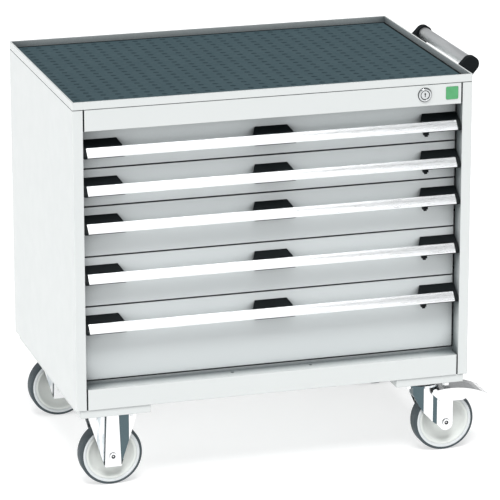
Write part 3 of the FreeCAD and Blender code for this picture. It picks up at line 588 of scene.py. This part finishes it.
def make_rim(kind, place):
    """Moulded centre: hub with a thread guard, deeply dished web and a rolled rim."""
    centre, outer, half = wheel_centre(kind, place)
    name = "%s_%s_rim" % (kind, place)
    low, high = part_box(name)
    seat = outer - TYRE_DEPTH
    collar = seat + RIM_COLLAR
    groove = half - GROOVE_STEP
    hub = (high.y - low.y) / 2
    face = half - RIM_FACE_STEP
    points = [
        (seat, 0.0, 0, True),
        (seat, groove, 0, False),
        (collar, groove, 0, False),
        (collar, face - 0.0004, 0, True),
        (seat + 0.0026, face, 0, True),
        (seat - 0.001, face, 0, True),
        (seat - 0.0025, face - 0.0012, 0, True),
        (seat - 0.0042, face - 0.0042, 0, True),
        (seat - 0.0075, 0.0068, 0, True),
        (seat - 0.0125, 0.0052, 0, True),
        (0.0270, 0.0050, 0, True),
        (0.0205, 0.0062, 0, True),
        (0.0172, 0.0100, 0, True),
        (0.0158, 0.0150, 0, True),
        (0.0150, hub - 0.0008, 0, True),
        (0.0142, hub, 0, True),
        (0.0110, hub, 1, False),
        (0.0108, hub - 0.0012, 1, False),
        (0.0064, hub - 0.0012, 1, False),
        (0.00605, hub - 0.0016, 1, True),
    ]
    mesh = bmesh.new()
    lathe(mesh, centre, mirrored_profile(points), ROUND_STEPS)
    body = "%s_%s_wheel" % (kind, place)
    rim = piece(name + "_moulded", mesh, ("rim", "zinc"), body)
    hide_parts(name)


def make_axle_dimple_shade(kind, place):
    """Dark ring in the dimple at both ends of an axle, standing in for the shade in the dimple."""
    centre = wheel_centre(kind, place)[0]
    body = "cabinet" if kind == "fixed" else "swivel_%s_castor" % place
    ring, eye = 0.0039, 0.0016
    clear, inset, dish = 0.00005, 0.0005, 0.0009
    mesh = bmesh.new()
    for side in (-1, 1):
        floor = side * (AXLE_REACH - AXLE_DIMPLE + clear)
        face = side * (AXLE_REACH - inset)
        profile = [
            (eye, floor, 0, False),
            (eye, side * (AXLE_REACH - dish), 0, True),
            (ring - 0.0004, face, 0, True),
            (ring, face - side * 0.0003, 0, True),
            (ring, floor, 0, False),
        ]
        lathe(mesh, centre, profile, steps=48)
    piece("%s_%s_axle_dimple_shade" % (kind, place), mesh, ("dimple_shade_steel",), body)


# ---------------------------------------------------------------------- lock
def make_lock():
    """Turned flange whose groove round the plug is painted black as shade, on a thin black ring
    that stands in for the flange's shadow on the rail.
    """
    low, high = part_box("lock_housing")
    rail_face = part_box("top_rail")[0].y
    centre = Vector(((low.x + high.x) / 2, 0, (low.z + high.z) / 2))
    flange = (high.x - low.x) / 2
    front = low.y
    foot = rail_face - 0.0001
    bore, groove, barrel = 0.00806, 0.0094, 0.011
    sunk = front + 0.0012
    profile = [
        # Bore and groove faces take the black finish: painted shade in the groove.
        (bore, sunk, 1, False),
        (groove, sunk, 1, False),
        (groove, front + 0.0001, 0, True),
        (groove + 0.0003, front, 0, True),
        (flange - 0.0011, front, 0, True),
        (flange - 0.0004, front + 0.0003, 0, True),
        (flange, front + 0.0010, 0, True),
        (flange, foot, 0, False),
        (barrel, foot, 0, False),
        (barrel, high.y, 0, False),
        (bore, high.y, 0, False),
    ]
    mesh = bmesh.new()
    lathe(mesh, centre, profile)
    flange_piece = piece("lock_flange_turned", mesh, ("chrome", "painted_shadow"), "cabinet")
    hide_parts("lock_housing")
    # Thin black ring round the flange's foot: painted shadow of the flange on the rail.
    mesh = bmesh.new()
    inner, outer = flange + 0.0001, flange + 0.0011
    crown = rail_face - 0.0009
    painted_shadow = [
        (inner, foot, 0, False),
        (inner, crown, 0, True),
        (outer - 0.0003, crown, 0, True),
        (outer, rail_face - 0.0005, 0, True),
        (outer, foot, 0, False),
    ]
    lathe(mesh, centre, painted_shadow)
    piece("lock_shadow_ring", mesh, ("painted_shadow",), "cabinet")


# -------------------------------------------------------- stage, light, camera
def make_floor():
    """Studio table that reaches past the edge of every view."""
    cells, reach = 8, 40.0
    mesh = bmesh.new()
    bmesh.ops.create_grid(mesh, x_segments=cells, y_segments=cells, size=reach)
    data = bpy.data.meshes.new("floor")
    mesh.to_mesh(data)
    mesh.free()
    data.materials.append(LOOKS["floor"])
    floor = bpy.data.objects.new("floor", data)
    bpy.context.scene.collection.objects.link(floor)
    floor.location.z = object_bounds()[0].z


def make_sun(name, azimuth, elevation, strength, spread):
    """Distant soft light from a compass direction; azimuth 0 shines from the front."""
    data = bpy.data.lights.new(name, "SUN")
    data.energy = strength
    data.angle = math.radians(spread)
    light = bpy.data.objects.new(name, data)
    bpy.context.scene.collection.objects.link(light)
    a, e = math.radians(azimuth), math.radians(elevation)
    source = Vector((math.sin(a) * math.cos(e), -math.cos(a) * math.cos(e), math.sin(e)))
    light.rotation_euler = (-source).to_track_quat("-Z", "Y").to_euler()


def make_light():
    """Even sky, a soft key light from the front and a fill from the left."""
    sky = 0.34
    world = bpy.data.worlds.new("studio")
    bpy.context.scene.world = world
    world.use_nodes = True
    background = world.node_tree.nodes["Background"]
    background.inputs["Color"].default_value = (0.97, 0.985, 1.0, 1)
    background.inputs["Strength"].default_value = sky
    make_sun("key", azimuth=-14, elevation=63, strength=2.7, spread=28)
    make_sun("side", azimuth=-82, elevation=24, strength=1.15, spread=60)


def make_camera():
    """Long-lens camera to the left of the front and a little above."""
    azimuth, elevation = math.radians(-16.73), math.radians(16.79)
    distance, aim_x, aim_z = 6.9686, 0.4273, 0.3845
    low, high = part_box("left_side_panel")
    target = Vector((low.x + aim_x, (low.y + high.y) / 2, aim_z))
    flat = math.cos(elevation)
    back = Vector((math.sin(azimuth) * flat, -math.cos(azimuth) * flat, math.sin(elevation)))
    data = bpy.data.cameras.new("camera")
    data.sensor_width = 36.0
    data.lens = 249.2
    data.clip_end = 150.0
    camera = bpy.data.objects.new("camera", data)
    bpy.context.scene.collection.objects.link(camera)
    camera.location = target + back * distance
    camera.rotation_euler = (-back).to_track_quat("-Z", "Y").to_euler()
    bpy.context.scene.camera = camera


dress_frame()
make_mat()
make_mat_shadow_strip()
make_lock()
for kind, place in WHEELS:
    make_tyre(kind, place)
    make_rim(kind, place)
    make_axle_dimple_shade(kind, place)
make_floor()
make_light()
make_camera()
bpy.context.scene.view_settings.view_transform = "Standard"
